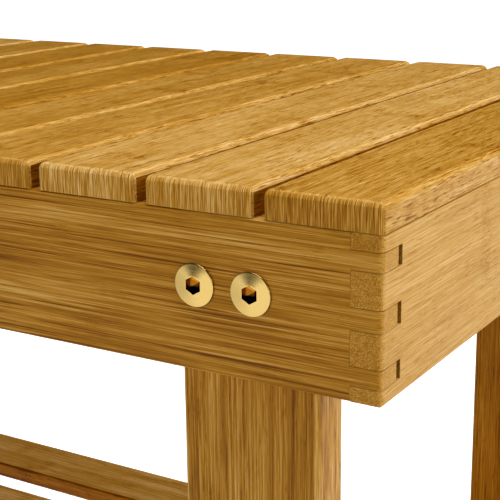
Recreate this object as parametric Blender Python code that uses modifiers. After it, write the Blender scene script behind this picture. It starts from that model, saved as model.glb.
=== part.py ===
"""Entryway bench: a slatted seat on a finger-jointed apron frame, four legs and an open shoe shelf.

Metres, +Z up. The origin is on the floor under the middle of the bench: +X runs along its length,
+Y to its back. The front is at -Y.
"""

import math

import bmesh
import bpy
from mathutils import Matrix, Vector

# ---- Overall sizes --------------------------------------------------------
SEAT_HEIGHT = 0.450
SEAT_DEPTH = 0.378
JOINT_CLEARANCE = 0.0003

# ---- Seat slats: they run front to back, and their count sets the length ---
SLAT_COUNT = 19
SLAT_WIDTH = 0.0485
SLAT_GAP = 0.0043
SLAT_THICKNESS = 0.0115
SLAT_EDGE_RADIUS = 0.0030
SLAT_BOTTOM_RADIUS = 0.0009

# ---- Apron frame -----------------------------------------------------------
APRON_HEIGHT = 0.0636
LONG_APRON_THICKNESS = 0.0128
END_APRON_THICKNESS = 0.0126
APRON_CORNER_RADIUS = 0.0030

# ---- Finger joint at the four corners, from the top down -------------------
OUTER_LONG_FINGER = 0.0075
MIDDLE_LONG_FINGER = 0.0086
END_FINGER = 0.0137
SOCKET_RELIEF = 0.0033

# ---- Legs ------------------------------------------------------------------
LEG_WIDTH = 0.0626
LEG_THICKNESS = 0.0212
LEG_INSET = 0.0320
LEG_EDGE_RADIUS = 0.0025
GLIDE_THICKNESS = 0.0030
GLIDE_MARGIN = 0.0040

# ---- Connector bolts and cap nuts ------------------------------------------
BOLT_INSET = 0.0536
BOLT_SPACING = 0.0250
BOLT_DROP = 0.0288
BOLT_HEAD_DIAMETER = 0.0174
BOLT_HEAD_THICKNESS = 0.0012
BOLT_SHANK_DIAMETER = 0.0080
BOLT_SHANK_LENGTH = 0.0300
HEX_ACROSS_FLATS = 0.0065
HEX_DEPTH = 0.0040
HARDWARE_CHAMFER = 0.0004
NUT_HEAD_DIAMETER = 0.0140
NUT_SLEEVE_DIAMETER = 0.0110
NUT_SLEEVE_LENGTH = 0.0150
NUT_BORE_LENGTH = 0.0110

# ---- Shoe shelf ------------------------------------------------------------
SHELF_DROP = 0.3230
SHELF_BOARD_COUNT = 5
SHELF_BOARD_WIDTH = 0.0462
SHELF_EDGE_SETBACK = 0.0016
SHELF_BOARD_THICKNESS = 0.0120
SHELF_EDGE_RADIUS = 0.0020
RAIL_WIDTH = 0.0220
RAIL_HEIGHT = 0.0300
RAIL_HOUSING = 0.0080
SHELF_END_GAP = 0.0010

# ---- Battens under the seat ------------------------------------------------
CLEAT_SIZE = 0.0180
BRACE_WIDTH = 0.0300
BRACE_TENON_WIDTH = 0.0160
BRACE_TENON_HEIGHT = 0.0090
BRACE_TENON_LENGTH = 0.0070

# ---- Sizes that follow from the ones above ---------------------------------
SEAT_LENGTH = SLAT_COUNT * SLAT_WIDTH + (SLAT_COUNT - 1) * SLAT_GAP
HALF_LENGTH = SEAT_LENGTH / 2
HALF_DEPTH = SEAT_DEPTH / 2
SLAT_UNDERSIDE = SEAT_HEIGHT - SLAT_THICKNESS
APRON_TOP = SLAT_UNDERSIDE - JOINT_CLEARANCE
APRON_BOTTOM = APRON_TOP - APRON_HEIGHT
LEG_FACE = HALF_DEPTH - LONG_APRON_THICKNESS - JOINT_CLEARANCE
LEG_BACK = LEG_FACE - LEG_THICKNESS
LEG_OUTSIDE = HALF_LENGTH - LEG_INSET
LEG_INSIDE = LEG_OUTSIDE - LEG_WIDTH
LEG_BOTTOM = GLIDE_THICKNESS + JOINT_CLEARANCE
SHELF_TOP = APRON_TOP - SHELF_DROP
RAIL_TOP = SHELF_TOP - SHELF_BOARD_THICKNESS - JOINT_CLEARANCE
SHELF_BOARD_SPAN = 2 * (LEG_FACE - SHELF_EDGE_SETBACK)
SHELF_BOARD_PITCH = (SHELF_BOARD_SPAN - SHELF_BOARD_WIDTH) / (SHELF_BOARD_COUNT - 1)
CLEAT_INSIDE = LEG_FACE - CLEAT_SIZE

EDGE_SEGMENTS = 2
BOLT_SEGMENTS = 24
HOLE_SEGMENTS = 20
MERGE_DISTANCE = 0.00001
CUT_EXTRA = 0.001

SIDES = (("left", -1), ("right", 1))
FACES = (("front", -1), ("back", 1))


def empty_scene():
    for old in list(bpy.data.objects):
        bpy.data.objects.remove(old, do_unlink=True)
    for old in list(bpy.data.collections):
        bpy.data.collections.remove(old)


def new_collection(name):
    collection = bpy.data.collections.new(name)
    bpy.context.scene.collection.children.link(collection)
    return collection


def new_material(name, colour, roughness, metallic=0.0):
    material = bpy.data.materials.new(name)
    material.use_nodes = True
    shader = material.node_tree.nodes["Principled BSDF"]
    shader.inputs["Base Color"].default_value = (*colour, 1.0)
    shader.inputs["Roughness"].default_value = roughness
    shader.inputs["Metallic"].default_value = metallic
    material.diffuse_color = (*colour, 1.0)
    return material


def box_mesh(name, size):
    """A box about its own origin."""
    mesh = bpy.data.meshes.new(name)
    shape = bmesh.new()
    bmesh.ops.create_cube(shape, size=1.0)
    bmesh.ops.scale(shape, vec=size, verts=shape.verts)
    shape.to_mesh(mesh)
    shape.free()
    return mesh


def add_piece(name, mesh, place, material):
    piece = bpy.data.objects.new(name, mesh)
    piece.location = place
    parts.objects.link(piece)
    piece.parent = bench
    if not mesh.materials:
        mesh.materials.append(material)
    return piece


def add_box(name, low, high, material):
    """A box between two opposite corners, with its origin at its middle."""
    low, high = Vector(low), Vector(high)
    return add_piece(name, box_mesh(name, high - low), (low + high) / 2, material)


def round_edges(mesh, radius_of):
    """Stores on each edge of a box the radius that radius_of(direction, middle) gives it.

    Returns the largest radius, which is the width of the bevel that follows.
    """
    shape = bmesh.new()
    shape.from_mesh(mesh)
    weight = shape.edges.layers.float.new("bevel_weight_edge")
    radii = {}
    for edge in shape.edges:
        ends = [vert.co for vert in edge.verts]
        direction = "XYZ"[max(range(3), key=lambda axis: abs(ends[0][axis] - ends[1][axis]))]
        radii[edge] = radius_of(direction, (ends[0] + ends[1]) / 2)
    largest = max(radii.values())
    for edge, radius in radii.items():
        edge[weight] = radius / largest
    shape.to_mesh(mesh)
    shape.free()
    return largest


def bevel(piece, radius, segments=EDGE_SEGMENTS):
    """Rounds the edges that round_edges weighted."""
    modifier = piece.modifiers.new("rounded edges", "BEVEL")
    modifier.limit_method = "WEIGHT"
    modifier.width = radius
    modifier.segments = segments


def add_cutter(name, mesh, place):
    cutter = bpy.data.objects.new(name, mesh)
    cutter.location = place
    cutter.hide_render = True
    cutter.display_type = "WIRE"
    cutters.objects.link(cutter)
    return cutter


def box_cutter(name, low, high):
    low, high = Vector(low), Vector(high)
    return add_cutter(name, box_mesh(name, high - low), (low + high) / 2)


def hole_cutter(name, diameter, x, y_from, y_to, z):
    """A round cutter along Y."""
    mesh = bpy.data.meshes.new(name)
    shape = bmesh.new()
    bmesh.ops.create_cone(
        shape,
        cap_ends=True,
        segments=HOLE_SEGMENTS,
        radius1=diameter / 2,
        radius2=diameter / 2,
        depth=abs(y_to - y_from),
        matrix=Matrix.Rotation(math.pi / 2, 4, "X"),
    )
    shape.to_mesh(mesh)
    shape.free()
    return add_cutter(name, mesh, (x, (y_from + y_to) / 2, z))


def cut(piece, cutter):
    modifier = piece.modifiers.new(cutter.name, "BOOLEAN")
    modifier.operation = "DIFFERENCE"
    modifier.solver = "EXACT"
    modifier.object = cutter


def turned_mesh(name, profile, hex_top):
    """Turns a profile of (radius, height) points about Z, and cuts a hex socket down from hex_top."""
    outline = bpy.data.meshes.new(name + "_outline")
    points = [(radius, 0.0, height) for radius, height in profile]
    outline.from_pydata(points, [(i, i + 1) for i in range(len(points) - 1)], [])
    turned = bpy.data.objects.new(name + "_turned", outline)
    cutters.objects.link(turned)
    screw = turned.modifiers.new("turn", "SCREW")
    screw.axis = "Z"
    screw.steps = BOLT_SEGMENTS
    screw.render_steps = BOLT_SEGMENTS
    screw.use_merge_vertices = True
    screw.merge_threshold = MERGE_DISTANCE

    socket = bpy.data.meshes.new(name + "_socket")
    shape = bmesh.new()
    bmesh.ops.create_cone(
        shape,
        cap_ends=True,
        segments=6,
        radius1=HEX_ACROSS_FLATS / math.sqrt(3),
        radius2=HEX_ACROSS_FLATS / math.sqrt(3),
        depth=HEX_DEPTH + CUT_EXTRA,
    )
    shape.to_mesh(socket)
    shape.free()
    cutter = add_cutter(name + "_socket", socket, (0, 0, hex_top - (HEX_DEPTH - CUT_EXTRA) / 2))
    cut(turned, cutter)

    bpy.context.view_layer.update()
    evaluated = turned.evaluated_get(bpy.context.evaluated_depsgraph_get())
    mesh = bpy.data.meshes.new_from_object(evaluated)
    mesh.name = name
    mesh.shade_smooth()
    mesh.set_sharp_from_angle(angle=math.radians(30))
    bpy.data.objects.remove(turned)
    bpy.data.objects.remove(cutter)
    return mesh


def finger_heights():
    """The (bottom, top, owner) of each finger at a corner, from the top of the apron down."""
    outer = APRON_HEIGHT - 2 * OUTER_LONG_FINGER - MIDDLE_LONG_FINGER - 2 * END_FINGER
    outer /= 2
    order = (
        (outer, "end"),
        (OUTER_LONG_FINGER, "long"),
        (END_FINGER, "end"),
        (MIDDLE_LONG_FINGER, "long"),
        (END_FINGER, "end"),
        (OUTER_LONG_FINGER, "long"),
        (outer, "end"),
    )
    heights = []
    top = APRON_TOP
    for height, owner in order:
        heights.append((top - height, top, owner))
        top -= height
    return heights


def cut_fingers(apron, other, x_side, y_side, x_depth, y_depth):
    """Cuts one corner of an apron where the other apron's fingers pass through it."""
    for number, (bottom, top, owner) in enumerate(finger_heights()):
        if owner != other:
            continue
        extra_down = CUT_EXTRA if number == 6 else JOINT_CLEARANCE / 2
        extra_up = CUT_EXTRA if number == 0 else JOINT_CLEARANCE / 2
        x_far, y_far = HALF_LENGTH + CUT_EXTRA, HALF_DEPTH + CUT_EXTRA
        x_near, y_near = HALF_LENGTH - x_depth, HALF_DEPTH - y_depth
        xs = sorted((x_side * x_near, x_side * x_far))
        ys = sorted((y_side * y_near, y_side * y_far))
        name = f"{apron.name}_socket_{'lr'[x_side > 0]}{'fb'[y_side > 0]}_{number}"
        cutter = box_cutter(name, (xs[0], ys[0], bottom - extra_down), (xs[1], ys[1], top + extra_up))
        cut(apron, cutter)


def bolt_places():
    """The (name, x, y_side) of each bolt: two through each leg."""
    for side, x_side in SIDES:
        for face, y_side in FACES:
            for row, inset in (("outer", BOLT_INSET), ("inner", BOLT_INSET + BOLT_SPACING)):
                yield f"{face}_{side}_{row}", x_side * (HALF_LENGTH - inset), y_side


def build_seat():
    def radius_of(direction, middle):
        return SLAT_BOTTOM_RADIUS if direction != "Z" and middle.z < 0 else SLAT_EDGE_RADIUS

    mesh = box_mesh("slat", (SLAT_WIDTH, SEAT_DEPTH, SLAT_THICKNESS))
    radius = round_edges(mesh, radius_of)
    for number in range(SLAT_COUNT):
        x = -HALF_LENGTH + SLAT_WIDTH / 2 + number * (SLAT_WIDTH + SLAT_GAP)
        place = (x, 0, SEAT_HEIGHT - SLAT_THICKNESS / 2)
        slat = add_piece(f"seat_slat_{number + 1:02d}", mesh, place, seat_wood)
        bevel(slat, radius)


def build_aprons():
    for face, y_side in FACES:
        outside = y_side * HALF_DEPTH
        inside = y_side * (HALF_DEPTH - LONG_APRON_THICKNESS)
        low = (-HALF_LENGTH, min(outside, inside), APRON_BOTTOM)
        high = (HALF_LENGTH, max(outside, inside), APRON_TOP)
        apron = add_box(f"apron_{face}", low, high, apron_wood)

        def outer_corner(direction, middle, y_side=y_side):
            return APRON_CORNER_RADIUS if direction == "Z" and middle.y * y_side > 0 else 0.0

        bevel(apron, round_edges(apron.data, outer_corner))
        for _, x_side in SIDES:
            cut_fingers(apron, "end", x_side, y_side, END_APRON_THICKNESS + JOINT_CLEARANCE,
                        LONG_APRON_THICKNESS + CUT_EXTRA)

    for side, x_side in SIDES:
        outside = x_side * HALF_LENGTH
        inside = x_side * (HALF_LENGTH - END_APRON_THICKNESS)
        low = (min(outside, inside), -HALF_DEPTH, APRON_BOTTOM)
        high = (max(outside, inside), HALF_DEPTH, APRON_TOP)
        apron = add_box(f"apron_{side}", low, high, apron_wood)

        def outer_corner(direction, middle, x_side=x_side):
            return APRON_CORNER_RADIUS if direction == "Z" and middle.x * x_side > 0 else 0.0

        bevel(apron, round_edges(apron.data, outer_corner))
        for _, y_side in FACES:
            cut_fingers(apron, "long", x_side, y_side, END_APRON_THICKNESS + CUT_EXTRA,
                        LONG_APRON_THICKNESS + SOCKET_RELIEF)

    hole = BOLT_SHANK_DIAMETER + 2 * JOINT_CLEARANCE
    for name, x, y_side in bolt_places():
        apron = bpy.data.objects[f"apron_{name.split('_')[0]}"]
        y_out = y_side * (HALF_DEPTH + CUT_EXTRA)
        y_in = y_side * (LEG_FACE - CUT_EXTRA)
        cut(apron, hole_cutter(f"apron_hole_{name}", hole, x, y_out, y_in, APRON_TOP - BOLT_DROP))


def build_legs():
    def upright_edges(direction, _middle):
        return LEG_EDGE_RADIUS if direction == "Z" else 0.0

    for side, x_side in SIDES:
        for face, y_side in FACES:
            xs = sorted((x_side * LEG_INSIDE, x_side * LEG_OUTSIDE))
            ys = sorted((y_side * LEG_BACK, y_side * LEG_FACE))
            name = f"leg_{face}_{side}"
            leg = add_box(name, (xs[0], ys[0], LEG_BOTTOM), (xs[1], ys[1], APRON_TOP), leg_wood)
            bevel(leg, round_edges(leg.data, upright_edges))

            glide_low = (xs[0] + GLIDE_MARGIN, ys[0] + GLIDE_MARGIN, 0)
            glide_high = (xs[1] - GLIDE_MARGIN, ys[1] - GLIDE_MARGIN, GLIDE_THICKNESS)
            add_box(f"glide_{face}_{side}", glide_low, glide_high, glide_plastic)

            mouth = LEG_INSIDE - CUT_EXTRA
            bottom = LEG_INSIDE + RAIL_HOUSING + JOINT_CLEARANCE
            housing = sorted((x_side * mouth, x_side * bottom))
            low = (housing[0], ys[0] - CUT_EXTRA, RAIL_TOP - RAIL_HEIGHT - JOINT_CLEARANCE)
            high = (housing[1], ys[1] + CUT_EXTRA, RAIL_TOP + JOINT_CLEARANCE)
            cut(leg, box_cutter(f"housing_{face}_{side}", low, high))

    hole = BOLT_SHANK_DIAMETER + 2 * JOINT_CLEARANCE
    sleeve = NUT_SLEEVE_DIAMETER + 2 * JOINT_CLEARANCE
    for name, x, y_side in bolt_places():
        face, side, _row = name.split("_")
        leg = bpy.data.objects[f"leg_{face}_{side}"]
        z = APRON_TOP - BOLT_DROP
        y_out = y_side * (LEG_FACE + CUT_EXTRA)
        y_in = y_side * (LEG_BACK - CUT_EXTRA)
        y_sleeve = y_side * (LEG_BACK + NUT_SLEEVE_LENGTH)
        cut(leg, hole_cutter(f"leg_hole_{name}", hole, x, y_out, y_in, z))
        cut(leg, hole_cutter(f"leg_sleeve_{name}", sleeve, x, y_sleeve, y_in, z))


def build_bolts():
    head = BOLT_HEAD_DIAMETER / 2
    shank = BOLT_SHANK_DIAMETER / 2
    bolt_mesh = turned_mesh(
        "bolt",
        [
            (0, BOLT_HEAD_THICKNESS),
            (head - HARDWARE_CHAMFER, BOLT_HEAD_THICKNESS),
            (head, BOLT_HEAD_THICKNESS - HARDWARE_CHAMFER),
            (head, 0),
            (shank, 0),
            (shank, HARDWARE_CHAMFER - BOLT_SHANK_LENGTH),
            (shank - HARDWARE_CHAMFER, -BOLT_SHANK_LENGTH),
            (0, -BOLT_SHANK_LENGTH),
        ],
        BOLT_HEAD_THICKNESS,
    )
    nut_head = NUT_HEAD_DIAMETER / 2
    sleeve = NUT_SLEEVE_DIAMETER / 2
    bore = shank + JOINT_CLEARANCE
    nut_top = BOLT_HEAD_THICKNESS
    nut_end = JOINT_CLEARANCE - NUT_SLEEVE_LENGTH
    bore_end = nut_end + NUT_BORE_LENGTH
    nut_mesh = turned_mesh(
        "nut",
        [
            (0, nut_top),
            (nut_head - HARDWARE_CHAMFER, nut_top),
            (nut_head, nut_top - HARDWARE_CHAMFER),
            (nut_head, 0),
            (sleeve, 0),
            (sleeve, nut_end),
            (bore, nut_end),
            (bore, bore_end),
            (0, bore_end),
        ],
        nut_top,
    )
    for name, x, y_side in bolt_places():
        z = APRON_TOP - BOLT_DROP
        bolt = add_piece(f"bolt_{name}", bolt_mesh, (x, y_side * (HALF_DEPTH + JOINT_CLEARANCE), z), brass)
        bolt.rotation_euler = (-y_side * math.pi / 2, 0, 0)
        nut = add_piece(f"nut_{name}", nut_mesh, (x, y_side * (LEG_BACK - JOINT_CLEARANCE), z), brass)
        nut.rotation_euler = (y_side * math.pi / 2, 0, 0)


def build_shelf():
    def long_edges(_direction, _middle):
        return SHELF_EDGE_RADIUS

    length = 2 * (LEG_INSIDE - SHELF_END_GAP)
    mesh = box_mesh("shelf_board", (length, SHELF_BOARD_WIDTH, SHELF_BOARD_THICKNESS))
    radius = round_edges(mesh, long_edges)
    for number in range(SHELF_BOARD_COUNT):
        y = (number - (SHELF_BOARD_COUNT - 1) / 2) * SHELF_BOARD_PITCH
        place = (0, y, SHELF_TOP - SHELF_BOARD_THICKNESS / 2)
        board = add_piece(f"shelf_board_{number + 1}", mesh, place, shelf_wood)
        bevel(board, radius, 2)

    for side, x_side in SIDES:
        inside = LEG_INSIDE + RAIL_HOUSING - RAIL_WIDTH
        xs = sorted((x_side * inside, x_side * (LEG_INSIDE + RAIL_HOUSING)))
        low = (xs[0], -LEG_FACE, RAIL_TOP - RAIL_HEIGHT)
        high = (xs[1], LEG_FACE, RAIL_TOP)
        add_box(f"rail_{side}", low, high, shelf_wood)


def tenon_shoulders(piece, shoulder, thickness, height):
    """Cuts a frame-shaped step round both ends of a piece along Y, which leaves a tenon on each."""
    half = Vector(piece.dimensions) / 2
    middle = piece.location
    for _face, y_side in FACES:
        ys = sorted((y_side * shoulder, y_side * (shoulder + half.y)))
        for x_side in (-1, 1):
            xs = sorted((middle.x + x_side * thickness / 2, middle.x + x_side * (half.x + CUT_EXTRA)))
            low = (xs[0], ys[0], middle.z - half.z - CUT_EXTRA)
            high = (xs[1], ys[1], middle.z + half.z + CUT_EXTRA)
            cut(piece, box_cutter(f"{piece.name}_cheek_{y_side}_{x_side}", low, high))
        for z_side in (-1, 1):
            zs = sorted((middle.z + z_side * height / 2, middle.z + z_side * (half.z + CUT_EXTRA)))
            low = (middle.x - half.x - 2 * CUT_EXTRA, ys[0], zs[0])
            high = (middle.x + half.x + 2 * CUT_EXTRA, ys[1], zs[1])
            cut(piece, box_cutter(f"{piece.name}_shoulder_{y_side}_{z_side}", low, high))


def build_supports():
    reach = LEG_INSIDE - JOINT_CLEARANCE
    for face, y_side in FACES:
        ys = sorted((y_side * CLEAT_INSIDE, y_side * LEG_FACE))
        low = (-reach, ys[0], APRON_TOP - CLEAT_SIZE)
        high = (reach, ys[1], APRON_TOP)
        cleat = add_box(f"cleat_{face}", low, high, support_wood)
        half_width = BRACE_TENON_WIDTH / 2 + JOINT_CLEARANCE
        half_height = BRACE_TENON_HEIGHT / 2 + JOINT_CLEARANCE
        middle = APRON_TOP - CLEAT_SIZE / 2
        mouth = CLEAT_INSIDE - CUT_EXTRA
        mortise = sorted((y_side * mouth, y_side * (CLEAT_INSIDE + BRACE_TENON_LENGTH)))
        low = (-half_width, mortise[0], middle - half_height)
        high = (half_width, mortise[1], middle + half_height)
        cut(cleat, box_cutter(f"cleat_mortise_{face}", low, high))

    shoulder = CLEAT_INSIDE - JOINT_CLEARANCE
    low = (-BRACE_WIDTH / 2, -shoulder - BRACE_TENON_LENGTH, APRON_TOP - CLEAT_SIZE)
    high = (BRACE_WIDTH / 2, shoulder + BRACE_TENON_LENGTH, APRON_TOP)
    brace = add_box("brace_center", low, high, support_wood)
    tenon_shoulders(brace, shoulder, BRACE_TENON_WIDTH, BRACE_TENON_HEIGHT)


empty_scene()
parts = new_collection("entryway_bench")
cutters = new_collection("cutters")
bench = bpy.data.objects.new("bench_root", None)
parts.objects.link(bench)

seat_wood = new_material("seat_bamboo", (0.56, 0.31, 0.10), 0.42)
apron_wood = new_material("apron_bamboo", (0.50, 0.28, 0.10), 0.45)
leg_wood = new_material("leg_bamboo", (0.46, 0.25, 0.09), 0.45)
shelf_wood = new_material("shelf_bamboo", (0.50, 0.28, 0.10), 0.45)
support_wood = new_material("support_bamboo", (0.52, 0.31, 0.13), 0.55)
brass = new_material("brass", (0.83, 0.62, 0.27), 0.25, 1.0)
glide_plastic = new_material("glide_plastic", (0.12, 0.09, 0.07), 0.6)

build_seat()
build_aprons()
build_legs()
build_bolts()
build_shelf()
build_supports()
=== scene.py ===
import math
import random

import bmesh
import bpy
from mathutils import Matrix, Vector


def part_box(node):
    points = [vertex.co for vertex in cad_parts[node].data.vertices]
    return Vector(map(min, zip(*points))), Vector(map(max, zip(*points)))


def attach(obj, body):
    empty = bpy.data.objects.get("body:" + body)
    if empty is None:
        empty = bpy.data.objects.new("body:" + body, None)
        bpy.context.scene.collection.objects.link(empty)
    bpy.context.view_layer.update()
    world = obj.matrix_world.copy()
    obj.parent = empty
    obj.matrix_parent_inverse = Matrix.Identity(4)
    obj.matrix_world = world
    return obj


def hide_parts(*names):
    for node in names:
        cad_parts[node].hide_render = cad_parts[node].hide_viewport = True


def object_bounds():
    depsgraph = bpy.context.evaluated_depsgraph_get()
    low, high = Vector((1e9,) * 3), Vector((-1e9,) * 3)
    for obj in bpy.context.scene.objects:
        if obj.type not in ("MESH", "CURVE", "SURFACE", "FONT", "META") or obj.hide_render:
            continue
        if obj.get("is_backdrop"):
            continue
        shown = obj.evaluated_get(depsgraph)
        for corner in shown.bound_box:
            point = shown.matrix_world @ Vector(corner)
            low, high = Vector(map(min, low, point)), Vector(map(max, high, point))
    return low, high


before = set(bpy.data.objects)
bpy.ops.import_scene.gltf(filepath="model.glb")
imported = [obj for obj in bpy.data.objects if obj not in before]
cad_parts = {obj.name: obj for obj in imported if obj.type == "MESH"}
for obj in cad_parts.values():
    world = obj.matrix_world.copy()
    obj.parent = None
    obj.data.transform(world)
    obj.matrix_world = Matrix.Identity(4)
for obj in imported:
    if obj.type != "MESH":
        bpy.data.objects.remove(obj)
cad_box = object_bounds()

MM = 0.001

# ---- Finger joint, as the CAD cuts it --------------------------------------
OUTER_LONG_FINGER = 7.5 * MM
MIDDLE_LONG_FINGER = 8.6 * MM
END_FINGER = 13.7 * MM
LAST_FINGER = 6
SOCKET_RELIEF = 3.3 * MM

# ---- Joint lines and play, some of them finer than the CAD's -----------------
JOINT_LINE = 0.11 * MM
JOINT_CLEARANCE = 0.3 * MM
HOUSING_PLAY = 0.2 * MM
CUT_EXTRA = 1 * MM

# ---- Rounding --------------------------------------------------------------
SLAT_TOP_RADIUS = 3.0 * MM
SLAT_CORNER_RADIUS = 2.4 * MM
SLAT_BOTTOM_RADIUS = 0.5 * MM
CORNER_RADIUS = 3.0 * MM
SOFT_EDGE = 0.7 * MM
APRON_BOTTOM_RADIUS = 0.6 * MM
LEG_RADIUS = 2.5 * MM
LEG_END_RADIUS = 0.4 * MM
BOARD_RADIUS = 2.0 * MM
BATTEN_RADIUS = 1.0 * MM
GLIDE_CORNER_RADIUS = 2.0 * MM
GLIDE_EDGE_RADIUS = 0.6 * MM

# The slats come down by this much, so that no light shows through the seam under them.
SEAM_CLOSED = 0.2 * MM

# ---- Bolts and cap nuts ----------------------------------------------------
HEAD_THICKNESS = 1.2 * MM
HEAD_RIM = 0.62 * MM
HEAD_FLAT = 3.8 * MM
HEAD_FILLET = 0.25 * MM
HEX_ACROSS_FLATS = 6.5 * MM
HEX_DEPTH = 3.0 * MM
DRILL_POINT = 1.2 * MM
BOLT_SHANK = 4.0 * MM
NUT_SLEEVE = 5.5 * MM
HOLE_PLAY = 0.15 * MM
HOLE_STEPS = 32
TURNED_STEPS = 96
# Painted light and shade inside the hex socket: where its lit side turns, and how lit, half lit and dark its
# walls are.
SOCKET_LIT_SIDE = math.radians(140)
SOCKET_LIT, SOCKET_HALF_LIT, SOCKET_DARK = 0.9, 0.36, 0.1

# ---- How much lighter or darker parts of the wood are: own tones, painted light and shade ---
# Slats are counted from the right-hand end, and the shades repeat.
# Each is the slat's own tone; the darker sixth to eighth values are also painted shade for light falling off
# across the seat.
SLAT_TONES_AND_SHADE = (-0.02, 0.12, 0.11, 0.02, -0.02, -0.09, -0.07, -0.10)
SLAT_END_SHADES = (0.00, -0.02, 0.05, -0.02)
# Painted light on both sides of the two end slats, for their lit outer side.
PAINTED_OUTER_SIDE_LIGHT = 0.15
# Painted shade on the slats' sides in the gaps between them.
PAINTED_GAP_SHADE = -0.40
# Painted highlight on the slats' rounded top edges.
PAINTED_EDGE_HIGHLIGHT = 0.10
# Painted light on the legs' narrow sides.
LEG_SIDE_PAINTED_LIGHT = 0.10
# Painted highlight on the legs' rounded upright edges.
PAINTED_LEG_EDGE_HIGHLIGHT = 0.28
# Painted shade on the shelf boards' front and back faces.
BOARD_SIDE_PAINTED_SHADE = -0.33
# Painted shade along the shelf boards' upper long edges.
BOARD_EDGE_PAINTED_SHADE = -0.60
TOP_FINGER_SHADE = -0.06
TOP_FINGER_REACH = 7.0 * MM
# The far leg is darker: partly its own tone, partly painted shade.
FAR_LEG_TONE_AND_SHADE = -0.14
PIECE_SHADE_SPREAD = 0.02

# How far a face's normal points along an axis. Past EDGE the face belongs to the edge towards that axis
# or to the side beyond it, past FACING it mostly looks that way, past FLAT it is the flat side, and past
# ALL_FLAT nothing of the edge is left.
EDGE = 0.25
FACING = 0.7
FLAT = 0.9
ALL_FLAT = 0.97

# ---- Wood shader -------------------------------------------------------------
KNUCKLE_SPACING = 230.0
# Tint for faces with strong painted shade.
PAINTED_SHADE_TINT = (1.0, 0.84, 0.30)
OIL_TINT = (1.0, 0.80, 0.50, 1.0)
OIL_IOR = 1.48
OIL_SPECULAR = 0.20

# ---- Brass and plastic shaders, which measure in metres ----------------------
RINGS_PER_METRE = 9000.0
PLASTIC_PIT = 0.6 * MM

# ---- Lights: place, aim, size, power, whether reflections show it ------------
LIGHTS = {
    "key": ((2.4, 0.1, 0.98), (0.3, 0, 0.4), (1.5, 1.2), 24.6, True),
    "top": ((0.50, -0.1, 1.45), (0.30, 0, 0.45), (0.9, 0.9), 11.6, True),
    "front": ((-0.6, -2.6, 1.2), (0.2, 0, 0.35), (1.4, 1.0), 27, False),
    "back": ((0.4, 2.2, 0.30), (0, 0, 0.12), (2.6, 0.3), 40, False),
    "rim": ((0.9, 1.8, 1.6), (0.2, 0, 0.45), (0.8, 0.5), 8, False),
}
FLOOR_REACH = 30.0
FLOOR_NEAR, FLOOR_FAR = 0.7, 2.0
FLOOR_GLOW_NEAR, FLOOR_GLOW_FAR = 0.68, 1.0
SKY_LIGHT = 0.13
SKY_SEEN = 1.05
SKY_BRIGHT_SIDE = (0.85, -0.53, 0.0)

# ---- Camera, measured from the top front right corner of the apron -----------
CAMERA_FROM_CORNER = Vector((0.1786, -0.3835, 0.1104))
CAMERA_YAW = math.radians(31.22)
CAMERA_TILT = math.radians(90 - 15.25)
CAMERA_ROLL = math.radians(-0.67)
CAMERA_LENS = 90.95
CAMERA_SENSOR = 36.0

random.seed(7)


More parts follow.
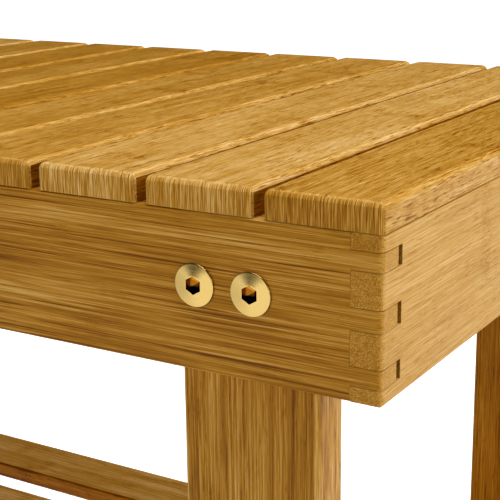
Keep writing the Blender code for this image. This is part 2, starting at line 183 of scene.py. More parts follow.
# ============================================================ node helpers ==
class Tree:
    """Short calls for building one material's nodes."""

    def __init__(self, name):
        self.material = bpy.data.materials.new(name)
        self.material.use_nodes = True
        self.nodes = self.material.node_tree.nodes
        self.links = self.material.node_tree.links
        self.shader = self.nodes["Principled BSDF"]

    def link(self, value, socket):
        if isinstance(value, bpy.types.NodeSocket):
            self.links.new(value, socket)
        else:
            socket.default_value = value

    def math(self, operation, a, b=0.0, c=None):
        node = self.nodes.new("ShaderNodeMath")
        node.operation = operation
        self.link(a, node.inputs[0])
        self.link(b, node.inputs[1])
        if c is not None:
            self.link(c, node.inputs[2])
        return node.outputs[0]

    def attribute(self, name):
        node = self.nodes.new("ShaderNodeAttribute")
        node.attribute_name = name
        return node

    def scaled(self, vector, scale, shift=(0, 0, 0)):
        node = self.nodes.new("ShaderNodeVectorMath")
        node.operation = "MULTIPLY_ADD"
        self.link(vector, node.inputs[0])
        node.inputs[1].default_value = scale
        node.inputs[2].default_value = shift
        return node.outputs[0]

    def noise(self, vector, sizes, detail=2.0, roughness=0.55, shift=(0, 0, 0)):
        """Noise whose features have these sizes along the vector's three axes, in its own unit."""
        node = self.nodes.new("ShaderNodeTexNoise")
        node.inputs["Scale"].default_value = 1.0
        node.inputs["Detail"].default_value = detail
        node.inputs["Roughness"].default_value = roughness
        self.link(self.scaled(vector, [1.0 / s for s in sizes], shift), node.inputs["Vector"])
        return node.outputs["Fac"]

    def white(self, value):
        node = self.nodes.new("ShaderNodeTexWhiteNoise")
        node.noise_dimensions = "1D"
        self.link(value, node.inputs["W"])
        return node.outputs["Value"]

    def step(self, value, low, high, to_low=0.0, to_high=1.0):
        node = self.nodes.new("ShaderNodeMapRange")
        node.interpolation_type = "SMOOTHSTEP"
        self.link(value, node.inputs["Value"])
        node.inputs["From Min"].default_value = low
        node.inputs["From Max"].default_value = high
        node.inputs["To Min"].default_value = to_low
        node.inputs["To Max"].default_value = to_high
        return node.outputs["Result"]

    def ramp(self, value, stops):
        node = self.nodes.new("ShaderNodeValToRGB")
        elements = node.color_ramp.elements
        while len(elements) < len(stops):
            elements.new(0.5)
        for element, (position, colour) in zip(elements, stops):
            element.position = position
            element.color = (*colour, 1.0)
        self.link(value, node.inputs["Fac"])
        return node.outputs["Color"]

    def mix(self, factor, a, b, kind="MIX"):
        node = self.nodes.new("ShaderNodeMix")
        node.data_type = "RGBA"
        node.blend_type = kind
        self.link(factor, node.inputs["Factor"])
        self.link(a if isinstance(a, bpy.types.NodeSocket) else (*a, 1.0), node.inputs["A"])
        self.link(b if isinstance(b, bpy.types.NodeSocket) else (*b, 1.0), node.inputs["B"])
        return node.outputs["Result"]

    def bump(self, height, distance, strength=1.0):
        node = self.nodes.new("ShaderNodeBump")
        node.inputs["Strength"].default_value = strength
        node.inputs["Distance"].default_value = distance
        self.link(height, node.inputs["Height"])
        self.links.new(node.outputs["Normal"], self.shader.inputs["Normal"])

    def weighted(self, base, terms):
        """base plus each (value, weight) pair's weight times the value's distance from a half."""
        total = base
        for value, weight in terms:
            part = self.math("MULTIPLY_ADD", value, weight, -weight / 2)
            total = self.math("ADD", part, total)
        return total


BAMBOO_TONES = (
    (0.00, (0.140, 0.038, 0.001)),
    (0.20, (0.250, 0.088, 0.003)),
    (0.40, (0.360, 0.152, 0.008)),
    (0.55, (0.460, 0.215, 0.022)),
    (0.70, (0.560, 0.300, 0.058)),
    (0.85, (0.650, 0.395, 0.125)),
    (1.00, (0.760, 0.520, 0.240)),
)

BRASS_TONES = (
    (0.25, (0.60, 0.37, 0.09)),
    (0.50, (0.80, 0.55, 0.17)),
    (0.75, (0.93, 0.71, 0.30)),
)

# From the dark side of a hex socket to its lit side.
SOCKET_TONES = (
    (0.1, (0.010, 0.003, 0.001)),
    (0.5, (0.10, 0.025, 0.002)),
    (1.0, (0.70, 0.27, 0.02)),
)

PLASTIC_TONES = (
    (0.3, (0.05, 0.035, 0.025)),
    (0.7, (0.09, 0.065, 0.045)),
)


def bamboo(name, tone, fibre=0.22, streak=0.16, band=0.12, strip=(24.0, 0.06), patch=0.10, dashes=0.20,
           knuckles=0.25, vein=0.0, fibre_size=(18, 0.55, 1.0), streak_size=(80, 2.0, 3.0),
           end_size=(0.9, 14.0), end_tone=0.45, end_contrast=0.40, roughness=0.42):
    """Oiled laminated bamboo.

    The grain attribute holds mm along, across and through the grain, and sizes are in that order too.
    tone is the place in BAMBOO_TONES that the wood varies about, and fibre to vein say how far each
    kind of mark moves it.
    """
    t = Tree(name)
    grain = t.attribute("grain").outputs["Vector"]
    end = t.attribute("endness").outputs["Fac"]
    shade = t.attribute("shade").outputs["Fac"]
    split = t.nodes.new("ShaderNodeSeparateXYZ")
    t.link(grain, split.inputs[0])
    along, across = split.outputs[0], split.outputs[1]

    # Strips glued side by side, each with its own tone.
    strip_width, strip_tone = strip
    wander = t.noise(grain, (400, 40, 40), 1.0)
    strip_place = t.math("MULTIPLY_ADD", wander, 0.4, t.math("DIVIDE", across, strip_width))
    strip_random = t.white(t.math("FLOOR", strip_place))

    fibres = t.step(t.noise(grain, fibre_size, 3.0, 0.7), 0.32, 0.68)
    streaks = t.step(t.noise(grain, streak_size, 2.0, 0.6, (0.0, 11.3, 5.7)), 0.36, 0.64)
    veins = t.step(t.noise(grain, (110, 1.1, 2.5), 1.0, 0.5, (4.4, 2.3, 1.7)), 0.60, 0.70)
    bands = t.step(t.noise(grain, (260, 7.0, 9.0), 2.0, 0.5, (0.0, 3.3, 8.7)), 0.30, 0.70)
    patches = t.step(t.noise(grain, (60, 25, 18), 1.0, 0.5), 0.30, 0.70)

    # Dark dashes: cut fibre bundles.
    dash_noise = t.noise(grain, (8.0, 0.5, 0.8), 1.0, 0.5, (3.1, 7.7, 1.3))
    dash_mask = t.step(dash_noise, 0.56, 0.66)
    dash_where = t.step(t.noise(grain, (30, 6, 6), 1.0, 0.5, (9.2, 1.7, 4.4)), 0.34, 0.56)
    dash = t.math("MULTIPLY", dash_mask, dash_where)

    # Knuckles: short speckled rings, each strip's at its own place along the grain.
    place = t.math("MULTIPLY_ADD", strip_random, 7 * KNUCKLE_SPACING, along)
    turn = t.math("FRACT", t.math("DIVIDE", place, KNUCKLE_SPACING))
    distance = t.math("MULTIPLY", t.math("ABSOLUTE", t.math("SUBTRACT", turn, 0.5)), KNUCKLE_SPACING)
    ring = t.step(distance, 1.0, 8.0, 1.0, 0.0)
    speckle = t.step(t.noise(grain, (1.8, 0.7, 0.8), 2.0, 0.6), 0.42, 0.62)
    knuckle = t.math("MULTIPLY", ring, speckle)

    factor = t.weighted(tone, (
        (fibres, fibre), (streaks, streak), (bands, band), (patches, patch), (strip_random, strip_tone),
    ))
    factor = t.math("SUBTRACT", factor, t.math("MULTIPLY", dash, dashes))
    factor = t.math("SUBTRACT", factor, t.math("MULTIPLY", knuckle, knuckles))
    factor = t.math("SUBTRACT", factor, t.math("MULTIPLY", veins, vein))
    factor = t.math("ADD", factor, shade)
    side_colour = t.ramp(factor, BAMBOO_TONES)

    # Cut ends.
    wide_size = (200, end_size[0] * 5, end_size[1] * 4)
    dot_size = (200, end_size[0] * 0.8, end_size[1] * 0.8)
    end_fine = t.step(t.noise(grain, (200, *end_size), 2.0, 0.7, (0.3, 0.9, 5.1)), 0.32, 0.68)
    end_wide = t.step(t.noise(grain, wide_size, 1.0, 0.5, (5.3, 2.9, 0.1)), 0.3, 0.7)
    end_factor = t.weighted(end_tone, ((end_fine, end_contrast), (end_wide, end_contrast * 0.25)))
    dots = t.step(t.noise(grain, dot_size, 1.0, 0.5, (1.3, 6.9, 2.1)), 0.56, 0.68)
    end_factor = t.math("SUBTRACT", end_factor, t.math("MULTIPLY", dots, end_contrast * 0.6))
    end_colour = t.ramp(t.math("ADD", end_factor, shade), BAMBOO_TONES)

    on_end = t.step(end, 0.35, 0.8)
    colour = t.mix(on_end, side_colour, end_colour)
    # Faces with strong painted shade (slat gaps, shelf board edges, the far leg) are tinted warmer too.
    shaded = t.step(shade, -0.20, -0.08, 1.0, 0.0)
    t.link(t.mix(shaded, colour, t.mix(1.0, colour, PAINTED_SHADE_TINT, "MULTIPLY")), t.shader.inputs["Base Color"])

    rough = t.weighted(roughness, ((fibres, 0.10), (patches, 0.06), (dash_mask, 0.08)))
    t.link(rough, t.shader.inputs["Roughness"])
    side_height = t.weighted(0.5, ((fibres, 0.6), (streaks, 0.2), (dash_mask, -0.3)))
    height = t.mix(on_end, side_height, end_fine)
    t.bump(height, 0.08 * MM, 0.6)
    t.shader.inputs["IOR"].default_value = OIL_IOR
    t.shader.inputs["Specular IOR Level"].default_value = OIL_SPECULAR
    t.shader.inputs["Specular Tint"].default_value = OIL_TINT
    return t.material


def brass():
    t = Tree("turned_brass")
    place = t.nodes.new("ShaderNodeTexCoord").outputs["Object"]
    split = t.nodes.new("ShaderNodeSeparateXYZ")
    t.link(place, split.inputs[0])
    x, y = split.outputs[0], split.outputs[1]
    radius = t.math("SQRT", t.math("ADD", t.math("MULTIPLY", x, x), t.math("MULTIPLY", y, y)))
    ring_noise = t.nodes.new("ShaderNodeTexNoise")
    ring_noise.noise_dimensions = "1D"
    ring_noise.inputs["Scale"].default_value = 1.0
    ring_noise.inputs["Detail"].default_value = 3.0
    t.link(t.math("MULTIPLY", radius, RINGS_PER_METRE), ring_noise.inputs["W"])
    rings = ring_noise.outputs["Fac"]
    colour = t.ramp(rings, BRASS_TONES)
    # The socket walls take the painted light and shade stored per face.
    inside = t.attribute("inside").outputs["Fac"]
    socket_light = t.ramp(inside, SOCKET_TONES)
    t.link(t.mix(t.step(inside, 0.02, 0.08), colour, socket_light), t.shader.inputs["Base Color"])
    t.shader.inputs["Metallic"].default_value = 1.0
    t.link(t.weighted(0.07, ((rings, 0.05),)), t.shader.inputs["Roughness"])
    t.shader.inputs["Anisotropic"].default_value = 0.40
    tangent = t.nodes.new("ShaderNodeTangent")
    tangent.direction_type = "RADIAL"
    tangent.axis = "Z"
    t.links.new(tangent.outputs["Tangent"], t.shader.inputs["Tangent"])
    t.bump(rings, 0.01 * MM, 0.5)
    return t.material


def plastic():
    t = Tree("glide_plastic")
    place = t.nodes.new("ShaderNodeTexCoord").outputs["Object"]
    pits = t.noise(place, 3 * [PLASTIC_PIT], 2.0)
    t.link(t.ramp(pits, PLASTIC_TONES), t.shader.inputs["Base Color"])
    t.link(t.weighted(0.6, ((pits, 0.2),)), t.shader.inputs["Roughness"])
    t.bump(pits, 0.05 * MM, 0.5)
    return t.material


# =========================================================== mesh helpers ==
def box_object(name, low, high, radius_of=None, segments=5):
    """A box between two corners, its edges rounded by radius_of(direction, middle)."""
    low, high = Vector(low), Vector(high)
    mesh = bpy.data.meshes.new(name)
    shape = bmesh.new()
    bmesh.ops.create_cube(shape, size=1.0)
    bmesh.ops.scale(shape, vec=high - low, verts=shape.verts)
    largest = 0.0
    if radius_of:
        weight = shape.edges.layers.float.new("bevel_weight_edge")
        radii = {}
        for edge in shape.edges:
            a, b = (vert.co for vert in edge.verts)
            direction = "XYZ"[max(range(3), key=lambda axis: abs(a[axis] - b[axis]))]
            radii[edge] = radius_of(direction, (a + b) / 2)
        largest = max(radii.values())
        for edge, radius in radii.items():
            edge[weight] = radius / largest
    shape.to_mesh(mesh)
    shape.free()
    made = bpy.data.objects.new(name, mesh)
    made.location = (low + high) / 2
    bpy.context.scene.collection.objects.link(made)
    if radius_of:
        modifier = made.modifiers.new("rounded", "BEVEL")
        modifier.limit_method = "WEIGHT"
        modifier.width = largest
        modifier.segments = segments
    return made


def cut(piece, cutters):
    for cutter in cutters:
        modifier = piece.modifiers.new("cut", "BOOLEAN")
        modifier.operation = "DIFFERENCE"
        modifier.solver = "EXACT"
        modifier.object = cutter


def applied(piece, cutters=(), sharp=40):
    """The piece with its modifiers applied and its cutters removed, shaded smooth between sharp edges."""
    bpy.context.view_layer.update()
    mesh = bpy.data.meshes.new_from_object(piece.evaluated_get(bpy.context.evaluated_depsgraph_get()))
    piece.modifiers.clear()
    piece.data = mesh
    mesh.shade_smooth()
    mesh.set_sharp_from_angle(angle=math.radians(sharp))
    for cutter in cutters:
        bpy.data.objects.remove(cutter)
    modifier = piece.modifiers.new("even normals", "WEIGHTED_NORMAL")
    modifier.keep_sharp = True
    modifier.weight = 100
    return piece


def add_grain(piece, axes, shade=0.0, face_shade=None):
    """Stores mm along, across and through the grain, how far each face is a cut end, and how dark it is."""
    mesh = piece.data
    order = ["XYZ".index(axis) for axis in axes]
    shift = (random.uniform(0, 900), random.uniform(0, 400), random.uniform(0, 90))
    place = mesh.attributes.new("grain", "FLOAT_VECTOR", "POINT")
    values = []
    for vert in mesh.vertices:
        values.extend(vert.co[axis] * 1000 + moved for axis, moved in zip(order, shift))
    place.data.foreach_set("vector", values)
    ends = mesh.attributes.new("endness", "FLOAT", "FACE")
    ends.data.foreach_set("value", [abs(face.normal[order[0]]) for face in mesh.polygons])
    shade += random.uniform(-PIECE_SHADE_SPREAD, PIECE_SHADE_SPREAD)
    shades = mesh.attributes.new("shade", "FLOAT", "FACE")
    shades.data.foreach_set("value", [
        shade + (face_shade(face.normal, face.center) if face_shade else 0.0) for face in mesh.polygons
    ])


def stands_for(piece, node, material):
    piece.name = f"{node}_detail"
    piece.data.materials.clear()
    piece.data.materials.append(material)
    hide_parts(node)
    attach(piece, "root")


def nodes_named(start):
    return sorted(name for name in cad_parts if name.startswith(start))


# =============================================================== materials ==
seat_wood = bamboo("seat_bamboo", 0.59, 0.36, 0.14, 0.06, patch=0.05, dashes=0.42, fibre_size=(10, 0.45, 0.8),
                   end_size=(0.45, 14.0), end_tone=0.49, end_contrast=0.52)
long_apron_wood = bamboo("long_apron_bamboo", 0.47, 0.30, 0.24, 0.20, (6.0, 0.06), dashes=0.08,
                         knuckles=0.08, vein=0.40, fibre_size=(30, 0.45, 1.2), streak_size=(90, 0.95, 3.0),
                         end_size=(0.5, 0.6), end_tone=0.63, end_contrast=0.24)
end_apron_wood = bamboo("end_apron_bamboo", 0.70, 0.28, 0.08, 0.05, (22.0, 0.03), 0.05, dashes=0.20,
                        knuckles=0.16, fibre_size=(25, 0.4, 1.0), end_size=(0.34, 0.5), end_tone=0.505,
                        end_contrast=0.42)
leg_wood = bamboo("leg_bamboo", 0.495, 0.36, 0.22, 0.22, (7.0, 0.10), dashes=0.16, knuckles=0.08, vein=0.20,
                  fibre_size=(22, 0.42, 1.2), streak_size=(120, 1.0, 3.0), end_size=(0.5, 0.6))
shelf_wood = bamboo("shelf_bamboo", 0.66, 0.24, 0.18, 0.12, (15.0, 0.08), end_size=(0.6, 12.0))
support_wood = bamboo("support_bamboo", 0.58, 0.22, 0.18, 0.12, (9.0, 0.08), end_size=(0.5, 0.6))
brass_metal = brass()
glide_plastic = plastic()


# ================================================================== pieces ==
def build_slats():
    def radius_of(direction, middle):
        if direction == "Z":
            return SLAT_CORNER_RADIUS
        return SLAT_TOP_RADIUS if middle.z > 0 else SLAT_BOTTOM_RADIUS

    nodes = nodes_named("seat_slat")
    for number, node in enumerate(reversed(nodes)):
        low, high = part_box(node)
        low.z -= SEAM_CLOSED
        slat = applied(box_object(node, low, high, radius_of))
        is_outer = number in (0, len(nodes) - 1)

        def face_shade(normal, _center, number=number, is_outer=is_outer):
            if abs(normal.y) > EDGE:
                # Painted highlight on the top edge of each end, over the end's own tone.
                edge_highlight = PAINTED_EDGE_HIGHLIGHT if normal.z > EDGE else 0.0
                return edge_highlight + SLAT_END_SHADES[number % len(SLAT_END_SHADES)]
            if abs(normal.x) > FLAT:
                # Both sides of the two end slats get painted light; sides between slats get painted shade.
                return PAINTED_OUTER_SIDE_LIGHT if is_outer else PAINTED_GAP_SHADE
            # Painted highlight on the long rounded top edges.
            if abs(normal.x) > EDGE and normal.z > EDGE:
                return PAINTED_EDGE_HIGHLIGHT
            return 0.0

        add_grain(slat, "YXZ", SLAT_TONES_AND_SHADE[number % len(SLAT_TONES_AND_SHADE)], face_shade)
        stands_for(slat, node, seat_wood)


def hole_cutters(low, high):
    """Cylinders for every bolt and nut that passes through this box."""
    cutters = []
    for node in nodes_named("bolt") + nodes_named("nut"):
        other_low, other_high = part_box(node)
        x, z = (other_low.x + other_high.x) / 2, (other_low.z + other_high.z) / 2
        meets = other_low.y < high.y and other_high.y > low.y and low.x < x < high.x
        if not meets:
            continue
        radius = (BOLT_SHANK if node.startswith("bolt") else NUT_SLEEVE) + HOLE_PLAY
        y_low, y_high = max(other_low.y, low.y - CUT_EXTRA), min(other_high.y, high.y + CUT_EXTRA)
        mesh = bpy.data.meshes.new("cutter")
        shape = bmesh.new()
        bmesh.ops.create_cone(shape, cap_ends=True, segments=HOLE_STEPS, radius1=radius, radius2=radius,
                              depth=y_high - y_low)
        shape.to_mesh(mesh)
        shape.free()
        cutter = bpy.data.objects.new("cutter", mesh)
        cutter.location = (x, (y_low + y_high) / 2, z)
        cutter.rotation_euler = (math.pi / 2, 0, 0)
        bpy.context.scene.collection.objects.link(cutter)
        cutters.append(cutter)
    return cutters


def finger_heights(low, high):
    """(bottom, top, owner) of each finger, from the top of the apron down."""
    outer = (high - low - 2 * OUTER_LONG_FINGER - MIDDLE_LONG_FINGER - 2 * END_FINGER) / 2
    top = high
    for height, owner in ((outer, "end"), (OUTER_LONG_FINGER, "long"), (END_FINGER, "end"),
                          (MIDDLE_LONG_FINGER, "long"), (END_FINGER, "end"), (OUTER_LONG_FINGER, "long"),
                          (outer, "end")):
        yield top - height, top, owner
        top -= height


def corner_cutters(low, high, other, x_depth, y_depth, half_length, half_depth):
    """Boxes where the other apron's fingers pass through this one, at each corner it reaches."""
    cutters = []
    for x_side in (-1, 1):
        for y_side in (-1, 1):
            if other == "end" and y_side * low.y < 0 and y_side * high.y < 0:
                continue
            if other == "long" and x_side * low.x < 0 and x_side * high.x < 0:
                continue
            for number, (bottom, top, owner) in enumerate(finger_heights(low.z, high.z)):
                if owner != other:
                    continue
                down = CUT_EXTRA if number == LAST_FINGER else JOINT_LINE
                up = CUT_EXTRA if number == 0 else JOINT_LINE
                xs = sorted((x_side * (half_length - x_depth), x_side * (half_length + CUT_EXTRA)))
                ys = sorted((y_side * (half_depth - y_depth), y_side * (half_depth + CUT_EXTRA)))
                cutters.append(box_object("cutter", (xs[0], ys[0], bottom - down), (xs[1], ys[1], top + up)))
    return cutters


def build_aprons():
    half_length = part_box("apron_front")[1].x
    half_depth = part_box("apron_right")[1].y
    front_low, front_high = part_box("apron_front")
    right_low, right_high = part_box("apron_right")
    long_thickness = front_high.y - front_low.y
    end_thickness = right_high.x - right_low.x
    for node in ("apron_front", "apron_back"):
        low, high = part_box(node)
        out = 1 if high.y > 0 else -1

        def radius_of(direction, middle, out=out):
            if direction == "Z":
                return CORNER_RADIUS if middle.y * out > 0 else 0.0
            if direction == "Y":
                return 0.0
            return APRON_BOTTOM_RADIUS if middle.y * out > 0 and middle.z < 0 else SOFT_EDGE

        apron = box_object(node, low, high, radius_of)
        cutters = corner_cutters(low, high, "end", end_thickness + JOINT_LINE, long_thickness + CUT_EXTRA,
                                 half_length, half_depth)
        cutters += hole_cutters(low, high)
        cut(apron, cutters)
        applied(apron, cutters)
        add_grain(apron, "XZY")
        stands_for(apron, node, long_apron_wood)
    for node in ("apron_left", "apron_right"):
        low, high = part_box(node)
        out = 1 if high.x > 0 else -1

        def radius_of(direction, middle, out=out):
            if direction == "Z":
                return CORNER_RADIUS if middle.x * out > 0 else 0.0
            if middle.z > 0:
                return SOFT_EDGE if direction == "Y" else 0.0
            return APRON_BOTTOM_RADIUS if direction == "X" or middle.x * out > 0 else SOFT_EDGE

        apron = box_object(node, low, high, radius_of)
        cutters = corner_cutters(low, high, "long", end_thickness + CUT_EXTRA, long_thickness + SOCKET_RELIEF,
                                 half_length, half_depth)
        cut(apron, cutters)
        applied(apron, cutters)

        def face_shade(normal, center, top=(high.z - low.z) / 2 - TOP_FINGER_REACH):
            return TOP_FINGER_SHADE if abs(normal.y) > FACING and center.z > top else 0.0

        add_grain(apron, "YZX", 0.0, face_shade)
        stands_for(apron, node, end_apron_wood)


def build_legs():
    def radius_of(direction, _middle):
        return LEG_RADIUS if direction == "Z" else LEG_END_RADIUS

    def face_shade(normal, _center):
        # Painted highlight on the rounded upright edges.
        if EDGE < abs(normal.x) < ALL_FLAT and abs(normal.z) < 0.1:
            return PAINTED_LEG_EDGE_HIGHLIGHT
        # The narrow sides get painted light.
        return LEG_SIDE_PAINTED_LIGHT * abs(normal.x)

    rails = [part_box(node) for node in nodes_named("rail")]
    for node in nodes_named("leg"):
        low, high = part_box(node)
        leg = box_object(node, low, high, radius_of)
        cutters = []
        for rail_low, rail_high in rails:
            if rail_low.x < high.x and rail_high.x > low.x:
                cutters.append(box_object(
                    "cutter",
                    (rail_low.x - HOUSING_PLAY, low.y - CUT_EXTRA, rail_low.z - HOUSING_PLAY),
                    (rail_high.x + HOUSING_PLAY, high.y + CUT_EXTRA, rail_high.z + HOUSING_PLAY),
                ))
        cutters += hole_cutters(low, high)
        cut(leg, cutters)
        applied(leg, cutters)
        # The far leg is darker: partly its own tone, partly painted shade.
        add_grain(leg, "ZXY", FAR_LEG_TONE_AND_SHADE if node == "leg_back_right" else 0.0, face_shade)
        stands_for(leg, node, leg_wood)


def build_boards():
    def soft(_direction, _middle):
        return BOARD_RADIUS

    def small(_direction, _middle):
        return BATTEN_RADIUS

    def face_shade(normal, _center):
        # Painted shade along the upper long edges.
        if 0.3 < normal.z < ALL_FLAT and abs(normal.y) > 0.1:
            return BOARD_EDGE_PAINTED_SHADE
        # Painted shade on the front and back faces.
        return BOARD_SIDE_PAINTED_SHADE * normal.y ** 2

    for node in nodes_named("shelf_board"):
        board = applied(box_object(node, *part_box(node), soft))
        add_grain(board, "XYZ", 0.0, face_shade)
        stands_for(board, node, shelf_wood)
    for node in nodes_named("rail"):
        rail = applied(box_object(node, *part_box(node), small, 3))
        add_grain(rail, "YZX")
        stands_for(rail, node, shelf_wood)
    for node in nodes_named("cleat"):
        cleat = applied(box_object(node, *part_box(node), small, 3))
        add_grain(cleat, "XZY")
        stands_for(cleat, node, support_wood)
    cleat_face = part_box("cleat_back")[0].y - JOINT_CLEARANCE
    low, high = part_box("brace_center")
    low.y, high.y = -cleat_face, cleat_face
    brace = applied(box_object("brace_center", low, high, small, 3))
    add_grain(brace, "YXZ")
    stands_for(brace, "brace_center", support_wood)


def turned_object(name, profile, hex_top):
    """A profile of (radius, height) points turned about Z, with a hex socket drilled down from hex_top."""
    outline = bpy.data.meshes.new(name)
    outline.from_pydata([(r, 0.0, z) for r, z in profile], [(i, i + 1) for i in range(len(profile) - 1)], [])
    turned = bpy.data.objects.new(name, outline)
    bpy.context.scene.collection.objects.link(turned)
    screw = turned.modifiers.new("turn", "SCREW")
    screw.steps = screw.render_steps = TURNED_STEPS
    screw.use_merge_vertices = True
    screw.merge_threshold = 0.01 * MM
    socket = bpy.data.meshes.new("socket")
    reach = HEX_ACROSS_FLATS / math.sqrt(3)
    turns = [math.radians(60 * i + 30) for i in range(6)]
    corners = [(math.cos(turn) * reach, math.sin(turn) * reach) for turn in turns]
    socket.from_pydata(
        [(x, y, CUT_EXTRA) for x, y in corners] + [(x, y, -HEX_DEPTH) for x, y in corners]
        + [(0, 0, -HEX_DEPTH - DRILL_POINT)],
        [],
        [tuple(range(6))] + [(i, i + 6, (i + 1) % 6 + 6, (i + 1) % 6) for i in range(6)]
        + [((i + 1) % 6 + 6, i + 6, 12) for i in range(6)],
    )
    cutter = bpy.data.objects.new("cutter", socket)
    cutter.location = (0, 0, hex_top)
    bpy.context.scene.collection.objects.link(cutter)
    cut(turned, [cutter])
    return applied(turned, [cutter], 25)


def head_profile(radius, top, rim, flat, fillet, steps=5):
    """Profile points of a slightly domed head, from its centre to its side."""
    points = [(0.0, top), (flat, top)]
    for i in range(steps + 1):
        angle = math.pi / 2 * (1 - i / steps)
        points.append((radius - fillet + fillet * math.cos(angle), rim - fillet + fillet * math.sin(angle)))
    return points


def paint_socket_light(piece):
    """Paints light and shade on the socket's faces: lit on its upper left, half lit on the rest of its left
    half, dark elsewhere.
    """
    mesh = piece.data
    reach = HEX_ACROSS_FLATS / math.sqrt(3) + 0.02 * MM
    bottom = HEAD_THICKNESS - HEX_DEPTH - DRILL_POINT
    values = []
    for face in mesh.polygons:
        x, y, z = face.center
        in_socket = math.hypot(x, y) < reach and z > bottom and face.normal.z < 0.98
        turn = math.atan2(y, x) - SOCKET_LIT_SIDE
        lit = max(SOCKET_LIT * max(0.0, math.cos(turn)) ** 1.5, SOCKET_HALF_LIT if x < 0 else 0.0)
        values.append(SOCKET_DARK + lit if in_socket else 0.0)
    inside = mesh.attributes.new("inside", "FLOAT", "FACE")
    inside.data.foreach_set("value", values)


def build_fasteners():
    for node in nodes_named("bolt") + nodes_named("nut"):
        low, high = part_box(node)
        middle = (low + high) / 2
        is_bolt = node.startswith("bolt")
        head = (high.x - low.x) / 2
        length = high.y - low.y - HEAD_THICKNESS
        shank = BOLT_SHANK if is_bolt else NUT_SLEEVE
        profile = head_profile(head, HEAD_THICKNESS, HEAD_RIM, HEAD_FLAT, HEAD_FILLET)
        profile += [(head, 0.0), (shank, 0.0), (shank, -length), (0.0, -length)]
        piece = turned_object(node, profile, HEAD_THICKNESS)
        out = 1 if (middle.y > 0) == is_bolt else -1
        under_head = (high.y if out > 0 else -low.y) - HEAD_THICKNESS
        piece.location = (middle.x, out * under_head, middle.z)
        piece.rotation_euler = (-out * math.pi / 2, 0, 0)
        paint_socket_light(piece)
        stands_for(piece, node, brass_metal)


def build_glides():
    def soft(direction, _middle):
        return GLIDE_CORNER_RADIUS if direction == "Z" else GLIDE_EDGE_RADIUS

    for node in nodes_named("glide"):
        glide = applied(box_object(node, *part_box(node), soft, 4))
        stands_for(glide, node, glide_plastic)


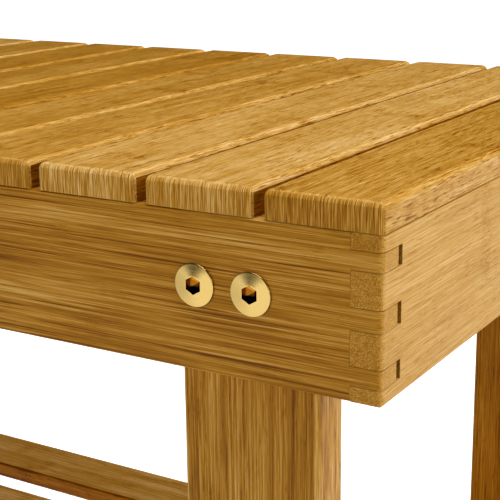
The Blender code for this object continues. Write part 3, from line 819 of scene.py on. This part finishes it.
# =========================================================== stage, lights ==
def build_floor():
    """A pale floor, which looks white to the camera away from the bench."""
    reach = FLOOR_REACH
    mesh = bpy.data.meshes.new("floor")
    mesh.from_pydata([(-reach, -reach, 0), (reach, -reach, 0), (reach, reach, 0), (-reach, reach, 0)], [],
                     [(0, 1, 2, 3)])
    floor = bpy.data.objects.new("floor", mesh)
    bpy.context.scene.collection.objects.link(floor)
    t = Tree("pale_floor")
    t.shader.inputs["Base Color"].default_value = (0.85, 0.85, 0.85, 1.0)
    t.shader.inputs["Roughness"].default_value = 0.9
    t.shader.inputs["Specular IOR Level"].default_value = 0.0
    t.shader.inputs["Emission Color"].default_value = (1.0, 1.0, 1.0, 1.0)
    path = t.nodes.new("ShaderNodeLightPath")
    length = t.nodes.new("ShaderNodeVectorMath")
    length.operation = "LENGTH"
    t.link(t.nodes.new("ShaderNodeTexCoord").outputs["Object"], length.inputs[0])
    glow = t.step(length.outputs["Value"], FLOOR_NEAR, FLOOR_FAR, FLOOR_GLOW_NEAR, FLOOR_GLOW_FAR)
    strength = t.math("MULTIPLY_ADD", path.outputs["Is Camera Ray"], glow, 0.05)
    t.link(strength, t.shader.inputs["Emission Strength"])
    mesh.materials.append(t.material)
    floor.visible_glossy = False
    floor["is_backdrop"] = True


def build_world():
    """White to the camera, dim to the wood, and to brass a dark sky over a floor bright on the right."""
    world = bpy.data.worlds.new("studio")
    world.use_nodes = True
    nodes, links = world.node_tree.nodes, world.node_tree.links

    def step(value, low, high, to_low, to_high):
        node = nodes.new("ShaderNodeMapRange")
        node.interpolation_type = "SMOOTHSTEP"
        links.new(value, node.inputs["Value"])
        for name, number in (("From Min", low), ("From Max", high), ("To Min", to_low), ("To Max", to_high)):
            node.inputs[name].default_value = number
        return node.outputs["Result"]

    def choose(factor, strength, other):
        """strength where factor is 0, and other where it is 1."""
        node = nodes.new("ShaderNodeMix")
        links.new(factor, node.inputs["Factor"])
        for value, name in ((strength, "A"), (other, "B")):
            if isinstance(value, bpy.types.NodeSocket):
                links.new(value, node.inputs[name])
            else:
                node.inputs[name].default_value = value
        return node.outputs["Result"]

    direction = nodes.new("ShaderNodeTexCoord").outputs["Generated"]
    toward = nodes.new("ShaderNodeVectorMath")
    toward.operation = "DOT_PRODUCT"
    links.new(direction, toward.inputs[0])
    toward.inputs[1].default_value = SKY_BRIGHT_SIDE
    upward = nodes.new("ShaderNodeSeparateXYZ")
    links.new(direction, upward.inputs[0])
    reflected = nodes.new("ShaderNodeMath")
    reflected.operation = "MULTIPLY"
    links.new(step(toward.outputs["Value"], -0.75, 0.05, 0.06, 1.0), reflected.inputs[0])
    links.new(step(upward.outputs["Z"], -0.135, -0.065, 1.10, 0.0), reflected.inputs[1])
    path = nodes.new("ShaderNodeLightPath").outputs
    strength = choose(path["Is Glossy Ray"], SKY_LIGHT, reflected.outputs[0])
    strength = choose(path["Is Camera Ray"], strength, SKY_SEEN)
    links.new(strength, nodes["Background"].inputs["Strength"])
    nodes["Background"].inputs["Color"].default_value = (1.0, 1.0, 1.0, 1.0)
    bpy.context.scene.world = world


def build_lights():
    for name, (place, target, size, power, is_reflected) in LIGHTS.items():
        data = bpy.data.lights.new(name, "AREA")
        data.shape = "RECTANGLE"
        data.size, data.size_y = size
        data.energy = power
        light = bpy.data.objects.new(name, data)
        light.location = place
        light.visible_camera = False
        light.visible_glossy = is_reflected
        light.rotation_mode = "QUATERNION"
        light.rotation_quaternion = (Vector(target) - Vector(place)).to_track_quat("-Z", "Y")
        bpy.context.scene.collection.objects.link(light)


def build_camera():
    data = bpy.data.cameras.new("camera")
    data.lens = CAMERA_LENS
    data.sensor_width = CAMERA_SENSOR
    data.clip_start, data.clip_end = 0.02, 100
    camera = bpy.data.objects.new("camera", data)
    corner = Vector((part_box("apron_front")[1].x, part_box("apron_right")[0].y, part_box("apron_front")[1].z))
    camera.matrix_world = (
        Matrix.Translation(corner + CAMERA_FROM_CORNER)
        @ Matrix.Rotation(CAMERA_YAW, 4, "Z")
        @ Matrix.Rotation(CAMERA_TILT, 4, "X")
        @ Matrix.Rotation(CAMERA_ROLL, 4, "Z")
    )
    bpy.context.scene.collection.objects.link(camera)
    bpy.context.scene.camera = camera


build_slats()
build_aprons()
build_legs()
build_boards()
build_fasteners()
build_glides()

build_floor()
build_world()
build_lights()
build_camera()
bpy.context.scene.view_settings.view_transform = "Standard"

boxes = {"cad": cad_box, "visual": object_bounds()}
{name: [list(corner) for corner in box] for name, box in boxes.items()}
